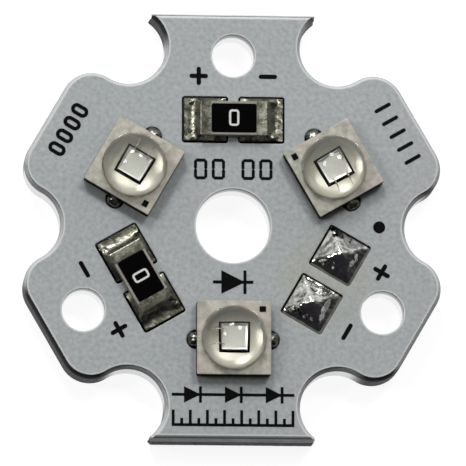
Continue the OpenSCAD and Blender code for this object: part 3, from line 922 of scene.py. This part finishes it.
def build_resin():
    levels = [(z, board_rings(z, 0, EDGE_MARGIN), 0) for z in (CORE_TOP, RESIN_TOP)]
    add_piece("board_resin", loft(levels), [RESIN], ["dielectric_layer"])


def build_mask():
    openings = mask_openings()

    def rings_at(z, depth):
        return board_rings(z, depth, EDGE_MARGIN) + [inset(ring, depth) for ring in openings]

    # The mark lies on the rim and the wall below it and paints them paler, as thinner mask and painted
    # highlight; it is cleared round the openings
    levels = [(RESIN_TOP, rings_at(RESIN_TOP, 0), 1)] + rim_levels(BOARD_TOP, rings_at, MASK_RIM)
    levels.append((BOARD_TOP, rings_at(BOARD_TOP, MASK_RIM + MASK_FADE), 0))
    bm = loft(levels)
    mark = bm.verts.layers.float["edge"]
    for points in openings:
        centre = sum(points, Vector((0, 0))) / len(points)
        reach = max((p - centre).length for p in points) + 2 * MASK_FADE
        for vert in bm.verts:
            if (vert.co.xy - centre).length < reach:
                vert[mark] = 0
    add_piece("board_mask", bm, [MASK], ["solder_mask"])


# Emitters

def build_ceramic(name, place):
    outline = rounded_rectangle(LED_W, LED_W, CERAMIC_CORNER_R)
    rim = rim_levels(CERAMIC_TOP, lambda z, depth: [inset(outline, depth)], CERAMIC_RIM)
    # Below this height the walls are painted near black: painted shade
    shade_top = CERAMIC_TOP - CERAMIC_SHADE_FADE
    levels = [(CERAMIC_BOTTOM, [outline], 1), (shade_top, [outline], 1)]
    levels += [(z, rings, 0) for z, rings, value in rim]
    bm = loft(levels)
    for face in bm.faces:
        below = face.calc_center_median().z < shade_top
        face.material_index = 1 if below and face.normal.z > -0.5 else 0
    add_piece(name + "_submount", bm, [CERAMIC, CERAMIC_WALL_SHADE], [name + "_ceramic"], place)


def build_chip(name, place):
    outline = rounded_rectangle(CHIP_W, CHIP_W, CHIP_CORNER_R)
    bm = slab(outline, FIELD_TOP, CHIP_TOP, CHIP_RIM)
    for face in bm.faces:
        # The chip's sides take a near-black material: painted shade
        face.material_index = 0 if face.normal.z > 0.5 else 1
    add_piece(name + "_die", bm, [CHIP_FACE, CHIP_SIDE_SHADE], [name + "_chip"], place)


def build_trench_shade(name, place):
    """A near-black band that lines the trench around the chip: painted shade."""
    outer = rounded_rectangle(CHIP_W + 2 * TRENCH_W, CHIP_W + 2 * TRENCH_W, CHIP_CORNER_R)
    inner = rounded_rectangle(CHIP_W, CHIP_W, CHIP_CORNER_R)
    top = FIELD_TOP - SUNK
    path = ((outer, CERAMIC_TOP), (outer, top), (inner, top), (inner, CERAMIC_TOP))
    add_piece(name + "_attach", band(path), [TRENCH_SHADE], (), place)


def build_die_frame(name, place):
    """A thin metal frame on the chip's face, which slopes down towards the middle."""
    outer = rounded_rectangle(CHIP_W - DIE_FRAME_LESS, CHIP_W - DIE_FRAME_LESS, CHIP_CORNER_R)
    inner = inset(outer, DIE_FRAME_W)
    edge = inset(outer, DIE_FRAME_EDGE)
    top = CHIP_TOP + DIE_FRAME_H
    path = ((outer, CHIP_TOP), (outer, top), (edge, top), (inner, CHIP_TOP))
    add_piece(name + "_die_frame", band(path), [DIE_METAL], (), place)


def dome_profile():
    """The dome's half section, from its top down to a small foot that spreads on the ceramic."""
    foot_z = CERAMIC_TOP + DOME_FOOT
    steps = 40
    foot_steps = 5
    low = math.asin(DOME_FOOT / DOME_R)
    profile = []
    for i in range(steps + 1):
        a = math.pi / 2 - (math.pi / 2 - low) * i / steps
        profile.append(Vector((DOME_R * math.cos(a), CERAMIC_TOP + DOME_R * math.sin(a))))
    profile[0].x = 0
    edge = profile[-1].x
    for i in range(1, foot_steps + 1):
        a = i / foot_steps * math.pi / 2
        profile.append(Vector((edge + DOME_FOOT * (1 - math.cos(a)), foot_z - DOME_FOOT * math.sin(a))))
    bottom = CERAMIC_TOP - SUNK
    return profile + [Vector((edge + DOME_FOOT, bottom)), Vector((0, bottom))]


def build_dome(name, place):
    add_piece(name + "_lens", lathe(dome_profile()), [DOME], [name + "_dome"], place)


def build_led_solder(name, place, seed):
    thermal = rounded_rectangle(THERMAL_SIZE.y, THERMAL_SIZE.x, PAD_CORNER_R)
    # The joints take the full mark, which paints them near black: painted shade of the gap under the package
    bm = slab(thermal, LAND_TOP, PAD_BOTTOM, PAD_RIM)
    side = rounded_rectangle(SIDE_PAD_SIZE.y, SIDE_PAD_SIZE.x, PAD_CORNER_R)
    neck = rounded_rectangle(2 * BEAD_R - 2 * OPENING_GAP, NECK_L, PAD_CORNER_R)
    for s in (-1, 1):
        slab(moved(side, 0, s * SIDE_PAD_OUT), LAND_TOP, PAD_BOTTOM, PAD_RIM, bm)
        slab(moved(neck, 0, s * (LED_W / 2 - NECK_IN)), LAND_TOP, PAD_BOTTOM, PAD_RIM, bm)
        add_bead(bm, s, seed)
    add_piece(name + "_joints", bm, [SOLDER, BEAD_SOLDER], [name + "_solder"], place)


def add_bead(bm, side, seed):
    """A drop of solder against one side of the ceramic, nearly square in plan, on a thin skirt; the skirt
    and the drop's lower part are painted near black, as painted shade.
    """
    rows = 32
    slopes = [math.pi * i / rows for i in range(rows + 1)]
    ball = lathe([Vector((math.sin(a), math.cos(a))) for a in slopes], segments=48)
    mark = ball.verts.layers.float.new("edge")
    reach = BEAD_R + OPENING_GAP
    for vert in ball.verts:
        out = vert.co.copy()
        flat = out.xy.length
        spread = abs(out.x) ** BEAD_POWER + abs(out.y) ** BEAD_POWER
        square = flat * spread ** (-1 / BEAD_POWER) if flat else 1
        lump = min(1, 1 - BEAD_LUMP * (1 + ripple(out.x + out.z, out.y, BEAD_LUMP_L, seed + side)))
        drop = Vector((out.x * BEAD_HALF * square, out.y * BEAD_OUT * square, out.z * BEAD_H)) * lump
        skirt = Vector((out.x * reach, out.y * reach, out.z * SKIRT_H))
        vert.co = skirt.lerp(drop, smooth_step((out.z - SKIRT_END) / SKIRT_FADE))
        # The lower part of the drop and its skirt painted near black: painted shade at its foot
        vert[mark] = 1 - smooth_step((out.z - SKIRT_SHADE_END) / SKIRT_FADE)
    ball_middle = Vector((0, side * LED_W / 2, LAND_TOP))
    bmesh.ops.translate(ball, vec=ball_middle, verts=ball.verts)
    for normal in (Vector((0, side, 0)), Vector((0, 0, 1))):
        geom = ball.verts[:] + ball.edges[:] + ball.faces[:]
        bmesh.ops.bisect_plane(ball, geom=geom, plane_co=ball_middle, plane_no=normal, clear_inner=True)
    for face in ball.faces:
        face.smooth = True
        face.material_index = 1
    bmesh.ops.holes_fill(ball, edges=[e for e in ball.edges if e.is_boundary])
    bmesh.ops.recalc_face_normals(ball, faces=ball.faces)
    mesh = bpy.data.meshes.new("bead")
    ball.to_mesh(mesh)
    ball.free()
    bm.from_mesh(mesh)
    bpy.data.meshes.remove(mesh)


# Bond wires, by geometry nodes

def bond_wire_tree():
    """Two looped wires from the chip's edge down to the field."""
    labels = ("Loop Radius", "Wire Radius", "Pitch", "Drop", "Foot", "Turn")
    inputs = [(label, FLOAT, None) for label in labels]
    inputs += [("Middle", VECTOR, None), ("Finish", "NodeSocketMaterial", None)]
    outputs = [("Geometry", "NodeSocketGeometry")]
    tree, nodes, given, out = new_group("bond_wires", "GeometryNodeTree", inputs, outputs)

    def shape(kind, output="Geometry", **feeds):
        feeds = {key.replace("_", " ").title(): value for key, value in feeds.items()}
        return nodes.add("GeometryNode" + kind, feeds).outputs[output]

    loop = shape("CurveArc", "Curve", resolution=33, sweep_angle=math.pi, radius=given["Loop Radius"])
    upright = shape("Transform", geometry=loop, rotation=(math.pi / 2, 0, math.pi / 2))
    along = shape("SplineParameter", "Factor")
    fall = nodes.math("MULTIPLY", nodes.math("POWER", along, 2), given["Drop"])
    bent = shape("SetPosition", geometry=upright, offset=nodes.vector(Z=nodes.math("MULTIPLY", fall, -1)))
    section = shape("CurvePrimitiveCircle", "Curve", resolution=12, radius=given["Wire Radius"])
    tube = shape("CurveToMesh", "Mesh", curve=bent, profile_curve=section, fill_caps=True)
    smooth = shape("SetShadeSmooth", geometry=tube)
    start = nodes.vector(X=nodes.math("MULTIPLY", given["Pitch"], -0.5), Y=given["Foot"])
    step = nodes.vector(X=given["Pitch"])
    feet = shape("MeshLine", "Mesh", count=2, start_location=start, offset=step)
    copies = shape("InstanceOnPoints", "Instances", points=feet, instance=smooth)
    real = shape("RealizeInstances", geometry=copies)
    turn = nodes.vector(Z=given["Turn"])
    placed = shape("Transform", geometry=real, rotation=turn, translation=given["Middle"])
    nodes.feed(out["Geometry"], shape("SetMaterial", geometry=placed, material=given["Finish"]))
    return tree


def grow(name, tree, values):
    """The plain mesh that a tree makes from its inputs."""
    obj = into_scene(name, bpy.data.meshes.new(name + "_seed"))
    modifier = obj.modifiers.new("shape", "NODES")
    modifier.node_group = tree
    sockets = {s.name: s.identifier for s in tree.interface.items_tree if s.in_out == "INPUT"}
    for label, value in values.items():
        modifier[sockets[label]] = value
    graph = bpy.context.evaluated_depsgraph_get()
    mesh = bpy.data.meshes.new_from_object(obj.evaluated_get(graph))
    mesh.name = name
    obj.modifiers.remove(modifier)
    seed = obj.data
    obj.data = mesh
    bpy.data.meshes.remove(seed)
    return obj


BOND_WIRES = bond_wire_tree()


def build_bond_wires(name, angle):
    middle = polar(LED_R, angle)
    obj = grow(name + "_wires", BOND_WIRES, {
        "Loop Radius": WIRE_LOOP_R, "Wire Radius": WIRE_R, "Pitch": WIRE_PITCH,
        "Drop": CHIP_TOP - FIELD_TOP, "Foot": WIRE_INSET - WIRE_LOOP_R - CHIP_W / 2,
        "Turn": angle, "Middle": (middle.x, middle.y, CHIP_TOP), "Finish": WIRE})
    ride_piece(obj, [name + "_bond_wires"])


def build_emitter(k, angle):
    name = f"led_{k}"
    place = station(angle, LED_R)
    build_ceramic(name, place)
    build_chip(name, place)
    build_trench_shade(name, place)
    build_die_frame(name, place)
    build_dome(name, place)
    build_led_solder(name, place, 10 * k)
    build_bond_wires(name, angle)


# Jumpers and wire pads

def tinned(value, inside):
    """A height above a land that runs down to it in a thin lip at the edge."""
    return LAND_TOP + (value - LAND_TOP) * smooth_step(TINNED_EDGE + inside / SOLDER_RIM)


def fillet_climb(distance, run, rise, power):
    """Height of a hollow fillet that starts level and has risen by its rise after its run."""
    return rise * (distance / run) ** power


def jumper_solder_height(seed):
    rise = FILLET_TOP - CAP_BOTTOM
    run_end = LAND_OUT + LAND_ALONG / 2 - JUMPER_L / 2
    run_side = (LAND_ACROSS - JUMPER_W) / 2
    body_y = JUMPER_L / 2 - LAND_OUT
    cap_y = body_y - CAP_L
    drops = []
    for side in (-1, 1):
        share = 0.5 + 0.5 * ripple(3.3 * side, seed, 1, 0.5)
        across = side * (LAND_ACROSS / 2 - DROP_INSET)
        along = LAND_ALONG / 2 - DROP_INSET - share * DROP_SPREAD
        drops.append((Vector((across, along)), DROP_R * (0.8 + 0.6 * share)))

    def height(x, y, inside):
        end = fillet_climb(LAND_ALONG / 2 - y, run_end, rise, END_POWER)
        side = fillet_climb(LAND_ACROSS / 2 - abs(x), run_side, rise, SIDE_POWER)
        climb = soft_min(end, side, FILLET_BLEND) * smooth_step((y - cap_y) / FILLET_FADE + 1)
        under = abs(x) < JUMPER_W / 2 - UNDER_GAP and y < body_y - UNDER_GAP
        wave = FILLET_WAVE * ripple(x, y, FILLET_WAVE_L, seed)
        for middle, reach in drops:
            away = math.hypot(x - middle.x, y - middle.y) / reach
            wave += DROP_H * max(0, 1 - away * away) ** 2
        return tinned(CAP_BOTTOM + (0 if under else max(0, min(climb, rise) + wave)), inside)

    return height


def build_jumper_solder(name, angle, side, label, seed):
    bm = pool(LAND_ACROSS, LAND_ALONG, LAND_TOP, jumper_solder_height(seed))
    place = station(angle, PAIR_R) @ Matrix.Scale(side, 4, (0, 1, 0)) @ Matrix.Translation((0, LAND_OUT, 0))
    bmesh.ops.transform(bm, matrix=place, verts=bm.verts)
    bmesh.ops.recalc_face_normals(bm, faces=bm.faces)
    add_piece(f"{name}_fillet_{label}", bm, [FILLET_SOLDER], [f"{name}_solder_{label}"])


def build_cap(name, place, side, label):
    """An end cap that folds over the end of the alumina: a U in section, drawn along the jumper's width."""
    wall = ALUMINA_BOTTOM - CAP_BOTTOM
    height = CAP_TOP - CAP_BOTTOM
    inner_x = CAP_L - wall
    inner_y = height / 2 - wall
    outer = rounded_rectangle(2 * CAP_L, height, 2 * wall, count=5)
    lower = [p for p in outer if p.x > 0 and p.y < 0]
    upper = [p for p in outer if p.x > 0 and p.y >= 0]
    inner = ((0, height / 2), (0, inner_y), (inner_x, inner_y), (inner_x, -inner_y), (0, -inner_y))
    outline = [Vector((0, -height / 2))] + lower + upper + [Vector(p) for p in inner]
    bm = loft([(-JUMPER_W / 2, [outline], 0), (JUMPER_W / 2, [outline], 0)])
    stand = Matrix(((0, 0, 1, 0), (side, 0, 0, 0), (0, 1, 0, 0), (0, 0, 0, 1)))
    seat = Matrix.Translation((0, side * (JUMPER_L / 2 - CAP_L), (CAP_BOTTOM + CAP_TOP) / 2))
    bmesh.ops.transform(bm, matrix=place @ seat @ stand, verts=bm.verts)
    bmesh.ops.recalc_face_normals(bm, faces=bm.faces)
    add_piece(f"{name}_end_{label}", bm, [CAP_TIN], [f"{name}_cap_{label}"])


def build_zero(name, place):
    """The printed zero: a narrow ring with nearly square corners."""
    outer = rounded_rectangle(ZERO_SIZE.y - ZERO_LESS, ZERO_SIZE.x - ZERO_LESS, ZERO_CORNER_R)
    inner = inset(outer, ZERO_STROKE)
    rings = [outer, list(reversed(inner))]
    bottom = ALUMINA_TOP + OVERCOAT_SIZE.z
    bm = loft([(bottom, rings, 0), (bottom + ZERO_SIZE.z, rings, 0)])
    add_piece(name + "_print", bm, [PRINT], [name + "_zero"], place)


def build_jumper(j, angle):
    name = f"jumper_{j}"
    place = station(angle, PAIR_R)
    wall = ALUMINA_BOTTOM - CAP_BOTTOM
    body = rounded_rectangle(JUMPER_W, JUMPER_L - 2 * wall, BODY_CORNER_R)
    bm = slab(body, ALUMINA_BOTTOM, ALUMINA_TOP, BODY_RIM, mark=0)
    add_piece(name + "_alumina", bm, [ALUMINA], [name + "_body"], place)
    coat = rounded_rectangle(OVERCOAT_SIZE.y, OVERCOAT_SIZE.x, COAT_CORNER_R)
    bm = slab(coat, ALUMINA_TOP, ALUMINA_TOP + OVERCOAT_SIZE.z, COAT_RIM)
    add_piece(name + "_coat", bm, [OVERCOAT], [name + "_overcoat"], place)
    build_zero(name, place)
    for side, label in ((-1, "in"), (1, "out")):
        build_cap(name, place, side, label)
        build_jumper_solder(name, angle, side, label, 5 * j + side)


def mound_height(seed):
    """A wrinkled mound with four nearly flat faces that meet over the diagonals of its pad."""
    def face(distance, half):
        return MOUND_H * (1 - abs(distance / half) ** MOUND_POWER)

    def height(x, y, inside):
        body = soft_min(face(x, LAND_ACROSS / 2), face(y, LAND_ALONG / 2), MOUND_BLEND)
        lower = near_upper_edges(-x, -y, LAND_ACROSS, LAND_ALONG)
        body *= 1 - MOUND_SAG * (1 - smooth_step(lower / MOUND_SAG_RUN))
        wave = sum(high * ripple(x, y, size, seed + more) for high, size, more in MOUND_WAVES)
        wave *= MM * smooth_step(inside / MOUND_CALM)
        return LAND_TOP + min(MOUND_H, max(MOUND_LOW, body - MOUND_LOW + wave))

    return height


def build_mound(name, side, seed):
    # The mounds get their rim of painted shade along the pad's upper edges only
    bm = pool(LAND_ACROSS, LAND_ALONG, LAND_TOP, mound_height(seed), cells=110, edge_shade=near_upper_edges)
    place = station(PAIR_ANGLES[2], PAIR_R) @ Matrix.Translation((0, side * LAND_OUT, 0))
    add_piece(name + "_mound", bm, [SOLDER], [name + "_solder"], place)


# CAD pieces that keep their own shape

def dress_frame_nodes():
    for node, obj in frame["nodes"].items():
        finish = None
        if node == "legend" or node.endswith("corner_mark"):
            finish = INK
        elif node.startswith(("trace", "thermal_land")):
            finish = COPPER
        elif node.endswith("pad"):
            finish = GOLD
        elif node.endswith("top_metal"):
            finish = FIELD
        if finish:
            obj.data.materials.clear()
            obj.data.materials.append(finish)


# Stage, light and camera

def build_floor():
    reach = 0.5
    level = 0.01 * MM
    own_light = 0.9
    whole = 1.1
    corners = [(x * reach, y * reach, level) for x, y in ((-1, -1), (1, -1), (1, 1), (-1, 1))]
    mesh = bpy.data.meshes.new("floor")
    mesh.from_pydata(corners, [], [(0, 1, 2, 3)])
    floor = into_scene("floor", mesh)
    finish = Finish("floor_white", roughness=0.9, specular_ior_level=0)
    rays = finish.add("ShaderNodeLightPath").outputs
    through = finish.math("MAXIMUM", rays["Is Glossy Ray"], rays["Is Transmission Ray"])
    seen = finish.math("MAXIMUM", rays["Is Camera Ray"], through)
    grey = (whole - own_light,) * 3 + (1,)
    glow = finish.span(seen, 0, own_light)
    finish.dress(base_color=grey, emission_color=(1, 1, 1, 1), emission_strength=glow)
    mesh.materials.append(finish.material)


def build_world():
    """A room, dim overhead and dark to the south, with a bright band part of the way up its north side."""
    world = bpy.data.worlds.new("room")
    bpy.context.scene.world = world
    world.use_nodes = True
    nodes = Nodes(world.node_tree)
    direction = nodes.add("ShaderNodeTexCoord").outputs["Generated"]
    parts = nodes.add("ShaderNodeSeparateXYZ", {"Vector": direction}).outputs
    ramp = nodes.add("ShaderNodeValToRGB", {"Fac": nodes.share(parts["Y"], -1, 1)})
    stops = ((0.0, (0.028, 0.026, 0.032, 1)), (0.3, (0.05, 0.047, 0.052, 1)), (0.5, (0.17, 0.17, 0.15, 1)),
             (0.7, (0.24, 0.245, 0.2, 1)), (0.95, (0.4, 0.4, 0.4, 1)))
    for i, (at, colour) in enumerate(stops):
        stop = ramp.color_ramp.elements[i] if i < 2 else ramp.color_ramp.elements.new(at)
        stop.position = at
        stop.color = colour
    side = nodes.share(parts["Y"], 0.2, 0.55)
    band = nodes.math("MULTIPLY", nodes.share(parts["Z"], 0.78, 0.56), nodes.share(parts["Z"], 0.18, 0.38))
    lit = nodes.mix(nodes.math("MULTIPLY", side, band), ramp.outputs["Color"], (1.15, 1.15, 1.12, 1))
    nodes.feed(world.node_tree.nodes["Background"].inputs["Color"], lit)


def add_lamp(name, place, size, power):
    data = bpy.data.lights.new(name, "AREA")
    data.shape = "DISK"
    data.size = size
    data.energy = power
    lamp = into_scene(name, data)
    lamp.location = place
    lamp.rotation_euler = (-Vector(place)).to_track_quat("-Z", "Y").to_euler()


def build_camera():
    """Looks down on the board from its lower edge, a little from the left, as measured in the photograph."""
    tilt, lean, roll = (math.radians(a) for a in (-9, 4, -0.04))
    distance = 0.3
    pixels_per_metre = 21460
    image = 466
    board_middle = Vector((233.2, 225.6))
    turn = Matrix.Rotation(tilt, 3, "X") @ Matrix.Rotation(lean, 3, "Y") @ Matrix.Rotation(roll, 3, "Z")
    right, up, back = turn[0], turn[1], turn[2]
    off = (board_middle - Vector((image / 2, image / 2))) / pixels_per_metre
    place = Vector((0, 0, BOARD_TOP)) + back * distance - right * off.x + up * off.y
    data = bpy.data.cameras.new("camera")
    data.sensor_width = 36
    data.lens = data.sensor_width * pixels_per_metre * distance / image
    data.clip_start = 0.01
    camera = into_scene("camera", data)
    camera.matrix_world = Matrix.Translation(place) @ turn.transposed().to_4x4()
    bpy.context.scene.camera = camera


build_core()
build_resin()
build_mask()
for k, angle in enumerate(LED_ANGLES, 1):
    build_emitter(k, angle)
for j, angle in enumerate(PAIR_ANGLES[:2], 1):
    build_jumper(j, angle)
build_mound("plus", 1, 21)
build_mound("minus", -1, 34)
dress_frame_nodes()
build_floor()
build_world()
add_lamp("key_north", (-0.059, 0.19, 0.225), 0.07, 0.32)
add_lamp("key_east", (0.083, 0.131, 0.257), 0.07, 0.29)
add_lamp("side_west", (-0.19, 0.03, 0.235), 0.07, 0.19)
build_camera()
bpy.context.scene.view_settings.view_transform = "Standard"
